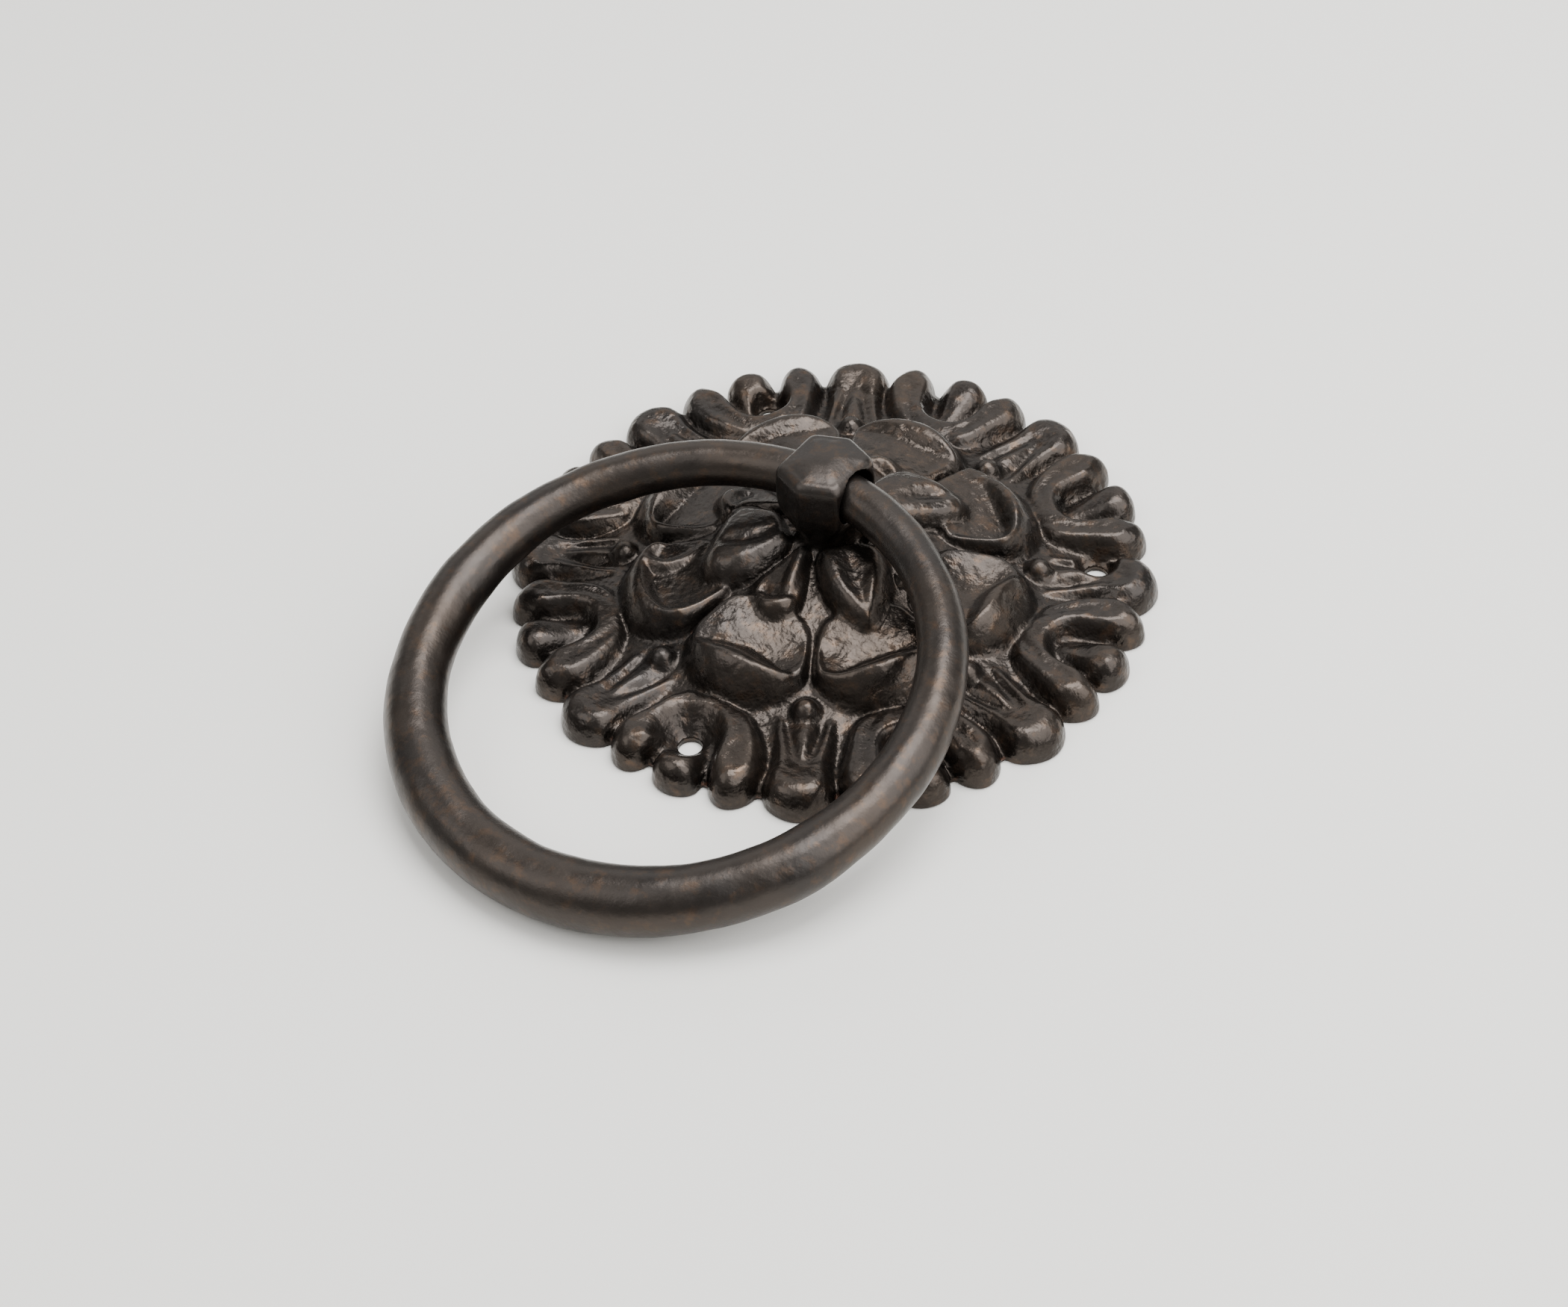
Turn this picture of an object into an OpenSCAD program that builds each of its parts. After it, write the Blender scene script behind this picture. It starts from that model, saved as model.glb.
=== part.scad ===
// Ring door knocker on a leafy rosette.
// Frame: the door's face is the plane z = 0, +Z points out of the door and +Y up it.
// The origin is where the eye stud's axis meets the door. Lengths are millimetres.

/* [Rosette] */
// Radius to the tips of the longest outer leaves
rosette_r = 85; // [70:1:110]
// Height of the flat seat in the middle, where the eye stud stands
seat_h = 21; // [20:0.5:24]
// Radius of the hollow in the back
hollow_r = 62; // [50:1:64]
// Depth of the hollow in the back
hollow_h = 15.2; // [14.8:0.1:15.6]

/* [Screw holes] */
// Diameter of each screw hole
screw_hole_d = 6.3; // [4:0.1:7]
// Diameter of the pocket round each screw hole, for the screw's head
screw_head_d = 10.5; // [8:0.5:12]
// Thickness of the rosette left under the screw's head
screw_web_h = 3; // [2:0.5:3.5]
// Radius of the circle that the screw holes are on
screw_circle_r = 70; // [66:0.5:72]
// Angles of the screw holes round the rosette
screw_angles = [33.5, 139.5, 275];

/* [Eye stud] */
// Height of the eye's bore above the door
eye_h = 34.3; // [33:0.1:40]
// Diameter of the eye's bore
eye_bore_d = 14.8; // [14.2:0.1:16]
// Width of the head along the bore
head_w = 20; // [16:0.5:22]
// Length of the head across its two points
head_l = 25; // [22:0.5:30]
// Height of the head's domed top above the door
head_top = 43.8; // [43:0.1:50]
// Diameter of the threaded shank
shank_d = 10; // [8:1:10]

/* [Ring] */
// Radius of the ring's centre line
ring_r = 66.2; // [58:0.1:80]
// Thickness of the ring in the eye
ring_eye_d = 12; // [10:0.1:12]
// Thickness of the ring at its far end, where it strikes
ring_far_d = 16.9; // [13:0.1:20]

/* [Hidden] */
$fn = 64;

bronze = [0.17, 0.13, 0.11];
steel = [0.55, 0.54, 0.52];

// Eight sectors repeat round the rosette. A middle leaf is centred on each sector,
// and a berry stands on each line between two sectors.
sectors = 8;
sector = 360 / sectors;
first_sector = 6.4;

// Mesh of the rosette's front
steps = 192;
front_rings = [11.5, 14, 17.5, 21, 24.5, 28, 31, 34, 36.5, 39, 42, 45, 48, 51, 54, 56.5, 59, 63,
               67, 71, 75, 79, 82, 84, 85];
rim_h = 1.6;
notch_r = 0.945 * rosette_r;
fringe_from = 58;

washer_d = 21;
washer_h = 2;
spring_washer_d = 18;
spring_washer_h = 2.2;
split = 1.2;
nut_across = 17;
nut_h = 7;
shank_end = 2;
clearance = 0.1;

head_waist = 30;
head_base_w = 13;
head_base_l = 17;
head_flat = 17;
dome_r = 30;

ring_tilt = asin((eye_h - ring_far_d / 2) / (2 * ring_r));
ring_joint_gap = 0.3;
plain_arc = 20;
taper_from = 17;
tuck = 0.03;
ring_sides = 24;
ring_steps = 54;
dowel_d = 4;
dowel_l = 14;

// The angle from b to a, from -180 to 180
function turn(a, b) = let (d = (a - b) % 360) d > 180 ? d - 360 : d <= -180 ? d + 360 : d;

// A smooth step from 0 at x = 0 to 1 at x = 1
function ease(x) = let (t = min(1, max(0, x))) t * t * (3 - 2 * t);

// How far out a point is in an oval pad: 0 at its middle, 1 on its edge
function oval(r, a, mid_r, mid_a, half_l, half_w) =
    let (u = (r * cos(a - mid_a) - mid_r) / half_l, v = r * sin(a - mid_a) / half_w)
    pow(pow(abs(u), 2.4) + pow(abs(v), 2.4), 1 / 2.4);

// A pad's rounded profile: 1 over its middle, falling steeply to 0 at its edge
function pad(t) = t >= 1 ? 0 : pow(1 - pow(t, 6), 0.6);

// The body under the leaves, a shallow dome that thins towards the rim
function dome(r) = 3 + (seat_h - 3) * pow(max(0, 1 - pow(r / 75, 1.6)), 1.7);

// A leaf: an oval pad standing on the dome, dished inside its lip
function leaf(r, a, mid_r, mid_a, half_l, half_w, top, dish) =
    let (t = oval(r, a, mid_r, mid_a, half_l, half_w), foot = dome(r))
    t >= 1 ? 0 : foot + (top - dish * ease(1 - t / 0.8) - foot) * pad(t);

// The outer fringe of one sector, at the angle b from the sector's middle: two almond leaves
// either side of a short one, and a wide leaf on each line between the sectors
function fringe(r, b) = max(
    leaf(r, b, 71, -9.25, 15, 7, 9.6, 1.5),
    leaf(r, b, 71, 10.2, 15, 7, 9.6, 1.5),
    leaf(r, b, 76.5, 0.8, 9, 5.8, 8.4, 0),
    leaf(r, b, 74, -22.5, 11.8, 8.6, 9, 1.5),
    leaf(r, b, 74, 22.5, 11.8, 8.6, 9, 1.5));

// Where the rim runs: out to each leaf's tip and in between the tips
function tip(b, mid, half, reach) = let (t = abs(b - mid) / half) t >= 1 ? 0 : reach * sqrt(1 - t * t);
function rim(b) = notch_r + max(
    tip(b, -9.25, 5.6, 4.6), tip(b, 10.2, 5.6, 4.6), tip(b, 0, 4.6, 4),
    tip(b, -22.5, 7.6, 4.3), tip(b, 22.5, 7.6, 4.3));

// Inner leaves: a large and a small one in turn
function inner(r, a, k) =
    let (large = k % 2 == 1, mid = first_sector + sector * k)
    leaf(r, a, large ? 23 : 24, mid, large ? 14.5 : 12.5, large ? 11 : 8, large ? 25 : 24, 1.5);

// Height of the rosette's front at radius r and angle a
function front(r, a) =
    let (k = round(turn(a, first_sector) / sector), b = turn(a, first_sector + sector * k))
    let (berry_side = b > 0 ? 22.5 : -22.5)
    max(
        dome(r),
        fringe(r, b),
        leaf(r, b, 41, 0, 17.3, 16.8, 17.6, 4),
        leaf(r, b, 55, berry_side, 4, 4, 10.5, 0),
        inner(r, a, (k - 1 + sectors) % sectors),
        inner(r, a, (k + sectors) % sectors),
        inner(r, a, (k + 1 + sectors) % sectors));

// One point of the rosette's front. The outer rings follow the rim.
function front_point(ring, step) =
    let (a = 360 * step / steps, b = turn(a, first_sector + sector * round(turn(a, first_sector) / sector)))
    let (nominal = front_rings[ring], last = len(front_rings) - 1)
    let (r = nominal + (rim(b) - front_rings[last]) * ease((nominal - fringe_from) / (rosette_r - fringe_from)))
    let (h = ring == 0 ? seat_h : ring == last ? rim_h : front(r, a))
    [r * cos(a), r * sin(a), h];

// The rosette before its back is hollowed: rings of points from the seat to the rim,
// the same rim again on the door, and a middle point on the seat and on the door
module rosette_blank() {
    rings = len(front_rings);
    front_points = [for (ring = [0:rings - 1], step = [0:steps - 1]) front_point(ring, step)];
    rim_start = (rings - 1) * steps;
    foot_points = [for (step = [0:steps - 1]) let (p = front_points[rim_start + step]) [p[0], p[1], 0]];
    points = concat(front_points, foot_points, [[0, 0, seat_h], [0, 0, 0]]);
    seat_mid = (rings + 1) * steps;
    foot_mid = seat_mid + 1;
    walls = [for (ring = [0:rings - 1], step = [0:steps - 1])
        let (next = (step + 1) % steps, here = ring * steps, out = here + steps)
        [here + step, here + next, out + next, out + step]];
    seat_fan = [for (step = [0:steps - 1]) [seat_mid, (step + 1) % steps, step]];
    foot_fan = [for (step = [0:steps - 1])
        [foot_mid, rings * steps + step, rings * steps + (step + 1) % steps]];
    polyhedron(points, concat(walls, seat_fan, foot_fan), convexity = 10);
}

module rosette_plate() {
    color(bronze) difference() {
        rosette_blank();
        // Hollow back, with a flat place for the washer
        rotate_extrude() polygon([[0, -1], [hollow_r, -1], [hollow_r, 0.8], [44, 6], [28, 11.5],
            [14, hollow_h], [0, hollow_h]]);
        translate([0, 0, -1]) cylinder(d = shank_d + 0.6, h = seat_h + 5);
        for (a = screw_angles) rotate(a) translate([screw_circle_r, 0, 0]) {
            translate([0, 0, -1]) cylinder(d = screw_hole_d, h = screw_web_h + 2);
            translate([0, 0, screw_web_h]) cylinder(d = screw_head_d, h = seat_h);
        }
    }
}

// The head's outline seen along the stud: flat where the bore comes out, pointed between
head_outline = [
    [head_w / 2, -head_flat / 2], [head_w / 2, head_flat / 2], [0, head_l / 2],
    [-head_w / 2, head_flat / 2], [-head_w / 2, -head_flat / 2], [0, -head_l / 2]];

// A side view that narrows from the waist down to the seat
module narrowing(base, full) {
    polygon([[-base / 2, seat_h], [base / 2, seat_h], [full / 2, head_waist],
        [full / 2, head_top + 1], [-full / 2, head_top + 1], [-full / 2, head_waist]]);
}

module eye_stud() {
    color(bronze) difference() {
        union() {
            intersection() {
                translate([0, 0, seat_h]) linear_extrude(head_top - seat_h) polygon(head_outline);
                translate([0, 0, head_top - dome_r]) sphere(r = dome_r);
                rotate([90, 0, 0]) linear_extrude(head_l + 2, center = true)
                    narrowing(head_base_w, head_w);
                rotate([90, 0, 90]) linear_extrude(head_w + 2, center = true)
                    narrowing(head_base_l, head_l);
            }
            translate([0, 0, shank_end + 1]) cylinder(d = shank_d, h = seat_h - shank_end);
            translate([0, 0, shank_end]) cylinder(d1 = shank_d - 2, d2 = shank_d, h = 1);
        }
        translate([0, 0, eye_h]) rotate([0, 90, 0])
            cylinder(d = eye_bore_d, h = head_w + 4, center = true);
    }
}

washer_z = hollow_h - washer_h;
spring_washer_z = washer_z - spring_washer_h;
nut_z = spring_washer_z - nut_h;

module flat_ring(outer, inner, h) {
    difference() {
        cylinder(d = outer, h = h);
        translate([0, 0, -1]) cylinder(d = inner, h = h + 2);
    }
}

module washer() {
    color(steel) translate([0, 0, washer_z])
        flat_ring(washer_d, shank_d + 0.5, washer_h);
}

// Split spring washer, pressed flat by the nut
module spring_washer() {
    color(steel) translate([0, 0, spring_washer_z]) difference() {
        flat_ring(spring_washer_d, shank_d + 0.2, spring_washer_h);
        translate([0, -split / 2, -1]) cube([spring_washer_d, split, spring_washer_h + 2]);
    }
}

module hex_nut() {
    color(steel) translate([0, 0, nut_z]) difference() {
        intersection() {
            cylinder(d = nut_across / cos(30), h = nut_h, $fn = 6);
            cylinder(d1 = nut_across, d2 = nut_across + 4 * nut_h, h = nut_h);
            cylinder(d1 = nut_across + 4 * nut_h, d2 = nut_across, h = nut_h);
        }
        translate([0, 0, -1]) cylinder(d = shank_d + clearance, h = nut_h + 2);
    }
}

// Places a part drawn with the ring flat and its eye end at the origin
module in_ring_plane() {
    translate([0, 0, eye_h]) rotate([ring_tilt, 0, 0]) children();
}

// Radius of the tapered tube at the angle a round the ring from the eye. It starts tucked
// just inside the plain arc, so that the two join cleanly.
function tube_r(a) =
    let (way = 1 - abs(180 - a) / (180 - taper_from), start = ring_eye_d / 2 - tuck)
    start + (ring_far_d / 2 - start) * (1 - cos(180 * way)) / 2;

function tube_point(a, side) =
    let (t = tube_r(a), s = 360 * side / ring_sides, r = ring_r + t * cos(s))
    [r * sin(a), r * cos(a) - ring_r, -t * sin(s)];

// The tapered part of the ring, from one side of the eye round to the other
module tapered_tube() {
    angles = [for (k = [0:ring_steps]) taper_from + (360 - 2 * taper_from) * k / ring_steps];
    points = [for (a = angles, side = [0:ring_sides - 1]) tube_point(a, side)];
    walls = [for (k = [0:ring_steps - 1], side = [0:ring_sides - 1])
        let (next = (side + 1) % ring_sides, here = k * ring_sides, on = here + ring_sides)
        [here + side, here + next, on + next, on + side]];
    first_cap = [for (side = [ring_sides - 1:-1:0]) side];
    last_cap = [for (side = [0:ring_sides - 1]) ring_steps * ring_sides + side];
    polyhedron(points, concat([first_cap], walls, [last_cap]), convexity = 6);
}

// The ring passes through the eye. Its two ends meet inside the bore.
module knocker_ring() {
    color(bronze) in_ring_plane() difference() {
        union() {
            tapered_tube();
            translate([0, -ring_r, 0]) rotate(90 - plain_arc) rotate_extrude(angle = 2 * plain_arc)
                translate([ring_r, 0]) circle(d = ring_eye_d);
        }
        cube([ring_joint_gap, 2 * ring_eye_d, 2 * ring_eye_d], center = true);
        rotate([0, 90, 0]) cylinder(d = dowel_d, h = dowel_l, center = true);
    }
}

// Dowel that closes the ring, inside its two ends
module ring_dowel() {
    color(steel) in_ring_plane() rotate([0, 90, 0])
        cylinder(d = dowel_d, h = dowel_l, center = true);
}

rosette_plate();
eye_stud();
washer();
spring_washer();
hex_nut();
knocker_ring();
ring_dowel();
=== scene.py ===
# Looks of a ring door knocker: a cast rosette of layered leaves, a hexagonal eye stud and a heavy
# tapered ring. The shapes are worked out in millimetres and become metres when they are made.

import math

import bpy
import numpy as np
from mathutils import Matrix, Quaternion, Vector, noise


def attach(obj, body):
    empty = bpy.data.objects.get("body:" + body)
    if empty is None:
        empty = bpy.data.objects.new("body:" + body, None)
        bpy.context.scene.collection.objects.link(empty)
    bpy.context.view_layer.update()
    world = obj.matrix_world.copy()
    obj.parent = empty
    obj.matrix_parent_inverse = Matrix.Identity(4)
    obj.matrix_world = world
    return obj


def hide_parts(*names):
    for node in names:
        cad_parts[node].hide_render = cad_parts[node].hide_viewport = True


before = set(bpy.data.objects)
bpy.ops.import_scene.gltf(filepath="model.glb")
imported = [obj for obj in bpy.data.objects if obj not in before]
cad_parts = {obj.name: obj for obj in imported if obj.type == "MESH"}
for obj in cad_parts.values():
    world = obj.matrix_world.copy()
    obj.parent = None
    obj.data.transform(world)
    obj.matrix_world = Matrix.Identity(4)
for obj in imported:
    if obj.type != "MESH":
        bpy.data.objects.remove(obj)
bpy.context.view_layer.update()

MM = 0.001

RIM_R = 85.0
PLATE_EDGE_R = 79.6
# The leaves repeat every SECTOR degrees round the rosette, starting at FIRST
FIRST = 6.4
SECTOR = 45.0
# The flat boss in the middle that the eye stud sits on
SEAT_H = 21.0
SEAT_R = 11.5
SEAT_BLEND = 1.5
BERRY_R, BERRY_AT, BERRY_Z = 3.6, 55, 7
# A height far below everything, for places that a shape doesn't cover
OUTSIDE = -20.0
SHEET_SOFTNESS = 5
SHEET_SLACK = 1.5


def curve_along(points, per_span=10, closed=False):
    """A cubic B-spline along points; further columns are carried along."""
    p = np.array(points, dtype=float)
    if closed:
        before, here, after, later = np.roll(p, 1, 0), p, np.roll(p, -1, 0), np.roll(p, -2, 0)
    else:
        padded = np.vstack([2 * p[0] - p[1], p, 2 * p[-1] - p[-2]])
        before, here, after, later = padded[:-3], padded[1:-2], padded[2:-1], padded[3:]
    t = np.linspace(0, 1, per_span, endpoint=False)[None, :, None]
    p0, p1, p2, p3 = (q[:, None, :] for q in (before, here, after, later))
    out = p0 * (1 - t) ** 3 + p1 * (3 * t**3 - 6 * t**2 + 4)
    out = out + p2 * (3 * t**2 - 3 * t**3 + 3 * t + 1) + p3 * t**3
    out = out.reshape(-1, p.shape[1]) / 6
    return out if closed else np.vstack([out, p[-1]])


def to_line(u, v, line, closed=False):
    """Distance from places (u, v) to a line of points, and the line's other columns there."""
    start = line
    end = np.roll(line, -1, 0)
    if not closed:
        start, end = start[:-1], end[:-1]
    best = np.full(u.shape, 1e9)
    extra = np.zeros(u.shape + (line.shape[1] - 2,))
    for s, e in zip(start, end):
        d = e[:2] - s[:2]
        t = np.clip(((u - s[0]) * d[0] + (v - s[1]) * d[1]) / max(d @ d, 1e-9), 0, 1)
        dist = np.hypot(u - s[0] - t * d[0], v - s[1] - t * d[1])
        closer = dist < best
        best = np.where(closer, dist, best)
        if extra.shape[-1]:
            value = s[2:] + t[..., None] * (e[2:] - s[2:])
            extra = np.where(closer[..., None], value, extra)
    return best, extra


def inside(u, v, line):
    """Whether each place is inside a closed line."""
    result = np.zeros(u.shape, bool)
    for s, e in zip(line, np.roll(line, -1, 0)):
        crosses = (s[1] > v) != (e[1] > v)
        with np.errstate(divide="ignore", invalid="ignore"):
            at = (e[0] - s[0]) * (v - s[1]) / (e[1] - s[1]) + s[0]
        result ^= crosses & (u < at)
    return result


def smooth_max(a, b, k):
    """The higher of two heights, with the crease between them rounded over about k."""
    h = np.clip(0.5 + 0.5 * (a - b) / k, 0, 1)
    return b + (a - b) * h + k * h * (1 - h)


def ease(x):
    """0 below 0, 1 above 1, and an S curve between."""
    t = np.clip(x, 0, 1)
    return t * t * (3 - 2 * t)


def sheet(u, v, spots):
    """The smoothest surface through spots (u, v, height), a thin-plate spline."""
    def bend(du, dv):
        d2 = du**2 + dv**2
        return d2 * np.log(d2 + 1e-9)
    su, sv, sz = np.array(spots, float).T
    n = len(su)
    system = np.zeros((n + 3, n + 3))
    system[:n, :n] = bend(su[:, None] - su, sv[:, None] - sv) + SHEET_SOFTNESS * np.eye(n)
    system[:n, n:] = np.stack([np.ones(n), su, sv], 1)
    system[n:, :n] = system[:n, n:].T
    weights = np.linalg.solve(system, np.append(sz, [0, 0, 0]))
    out = weights[n] + weights[n + 1] * u + weights[n + 2] * v
    for k in range(n):
        out = out + weights[k] * bend(u - su[k], v - sv[k])
    return np.clip(out, sz.min() - SHEET_SLACK, sz.max() + SHEET_SLACK)


def leaf(x, y, ground, turn, outline, spots, foot, rolls=(), grooves=(), edge=4.5, nose=None, nose_from=75,
         power=0.5, fillet=1.2, polar=False):
    """The ground's heights with one leaf laid on it, turned by an angle.

    The spots shape its top, rolls raise ridges on it and grooves cut lines in it. Its side rises from
    the height foot over a width of edge, or of nose beyond nose_from. Polar leaves are given as
    (radius, angle) and the others as (out, across)."""
    c, s = np.cos(np.radians(turn)), np.sin(np.radians(turn))
    nose = nose or edge
    if polar:
        def mm(p):
            return (p[0] * np.cos(np.radians(p[1])), p[0] * np.sin(np.radians(p[1]))) + tuple(p[2:])
        outline = [mm(p) for p in outline]
        spots = [mm(p) for p in spots]
        rolls = [[mm(p) for p in r] for r in rolls]
        grooves = [[mm(p) for p in g] for g in grooves]
    line = curve_along(outline, closed=True)
    u_all, v_all = x * c + y * s, y * c - x * s
    lo, hi = line.min(0) - 1, line.max(0) + 1
    near = (u_all > lo[0]) & (u_all < hi[0]) & (v_all > lo[1]) & (v_all < hi[1])
    u, v = u_all[near], v_all[near]
    within, _ = to_line(u, v, line, True)
    keep = inside(u, v, line)
    top = sheet(u, v, spots)
    for roll in rolls:
        d, e = to_line(u, v, curve_along(roll))
        top = smooth_max(top, e[:, 0] - d**2 / (1.35 * e[:, 1]), 1.0)
    for groove in grooves:
        d, e = to_line(u, v, curve_along(groove))
        top = top - e[:, 0] * np.exp(-((d / e[:, 1]) ** 2))
    wide = edge + (nose - edge) * ease((np.hypot(u, v) - nose_from) / 6)
    t = np.clip(within / wide, 0, 1)
    shoulder = (1 - (1 - t) ** 2.2) ** power
    height = np.where(keep, foot + (top - foot) * shoulder, OUTSIDE)
    out = ground.copy()
    out[near] = np.where(keep, smooth_max(height, ground[near], fillet), ground[near])
    return out


# Outer fringe, in (radius, angle from the sector's middle): a horseshoe of two leaves joined
# at the root, a small leaf that rises out of the hollow between them, and a wide leaf beyond
HORSESHOE = dict(
    outline=[(55.5, -5), (57, -9.4), (60.5, -12), (65, -13), (70, -13.6), (75, -14.8), (79.4, -14.8),
             (83.2, -12.8),
             (85.2, -10), (84.2, -7.4), (81, -5.9), (77, -5.1), (72.5, -4.9), (68.5, -4.6), (65.8, -3),
             (64.8, 0.2),
             (65.8, 3.4), (68.5, 5.2), (73, 5.7), (77.5, 6), (81.4, 7), (84.4, 8.8), (85.4, 11.2),
             (83.4, 14),
             (79.6, 16), (74.5, 16.4), (69, 15.6), (64, 14), (59.5, 11.4), (56, 7)],
    spots=[(59, -6, 8.4), (62, 0, 8.6), (59, 7, 8.4), (66, -9, 9.0), (72, -9.6, 9.0), (78, -9.8, 9.2),
           (82, -9.8, 9.2),
           (66, 10, 9.0), (72, 10.8, 9.0), (78, 11, 9.2), (82, 11.2, 9.4), (67, -5, 9.2), (67, 6, 9.2)],
    rolls=[[(80, -7.4, 9.2, 0.7), (75, -6.2, 9.6, 0.7), (70, -5.8, 9.8, 0.7), (66.4, -4.6, 9.6, 0.7),
            (63.8, -2, 9.2, 0.7), (63.2, 0.4, 9.0, 0.7), (63.8, 3, 9.2, 0.7), (66.6, 5.6, 9.6, 0.7),
            (70, 6.8, 9.8, 0.7), (76, 7.2, 9.6, 0.7), (80.4, 8.4, 9.3, 0.7)]],
    grooves=[[(58, -4, 0.5, 1.2), (64, -8, 0.7, 1.4), (70, -8.8, 0.5, 1.8), (77, -9.4, 0.2, 2)],
             [(58, 5, 0.5, 1.2), (64, 8.6, 0.7, 1.4), (70, 10, 0.5, 1.8), (77, 10.8, 0.2, 2)]],
    foot=1, edge=3.2, nose=6.4, power=0.56)
LEAF_C = dict(
    outline=[(64, -1.6), (68, -2.9), (73, -3.5), (78, -4.3), (82, -4.4), (84.9, -2.2), (85.8, 0.6),
             (84.8, 3.6),
             (81.8, 5.5), (77.5, 5.0), (72, 4.3), (67, 3.3), (64, 1.8)],
    spots=[(65, 0, 4.2), (69, 0, 5.0), (73, 0.4, 6.4), (73, -3, 5.8), (73, 3.6, 5.8), (76, 0.6, 7.6),
           (79, -3.6, 7.8), (79, 4.6, 7.8), (79.5, 0.8, 8.4), (83, -2.4, 8), (83, 0.8, 8.4), (83, 3.6, 8)],
    foot=1, edge=3.4, nose=4.8, power=0.54)
LEAF_M = dict(
    outline=[(53, -8), (59, -8.4), (64, -6.8), (69, -5.8), (73.5, -5.6), (77.6, -6.2), (81, -6.1),
             (84, -4.2),
             (86, -1.4), (86.4, 0.6), (86, 2.6), (84, 5.2), (81, 7), (77.6, 7), (73.5, 6.4), (69, 6.6),
             (64, 7.6), (59, 8.4), (53, 8)],
    spots=[(57, 0, 6.2), (62, 0, 7), (67, 0, 7), (72, 0, 6.8), (77, -3, 8), (77, 4, 8), (80, 0.5, 8.4),
           (81, -4, 8.8),
           (81, 5, 8.8), (62, -5, 6.6), (62, 5, 6.6), (76, 0.5, 7.4), (84, 0.5, 8.4)],
    rolls=[[(56, 0, 6.8, 2), (60, 0.3, 7.4, 2), (65, 0.4, 7.8, 1.4), (70, 0.4, 7.2, 0.7)],
           [(58, -6.6, 7.6, 0.6), (63, -5.4, 7.4, 0.6), (69, -4.3, 7.2, 0.5)],
           [(58, 6.6, 7.6, 0.6), (63, 5.6, 7.4, 0.6), (69, 5, 7.2, 0.5)]],
    grooves=[[(57, -4.8, 1.2, 1.0), (63, -3, 2.4, 1.0), (69, -1.6, 1.4, 1.0), (74, -0.6, 0.2, 1)],
             [(57, 4.8, 1.2, 1.0), (63, 3.6, 2.4, 1.0), (69, 2.4, 1.4, 1.0), (74.6, 1.4, 0.2, 1)]],
    foot=1, edge=3.2, nose=6.4, power=0.56)
SCREW_R = 70
# Screw holes: angle, radius of the flat seat round each one, and how steeply its side rises
SCREWS = ((33.5, 3.9, 3.4), (139.5, 3.9, 3.4), (275, 3.3, 1.1))
SCREW_SEAT_Z = 1.5

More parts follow.
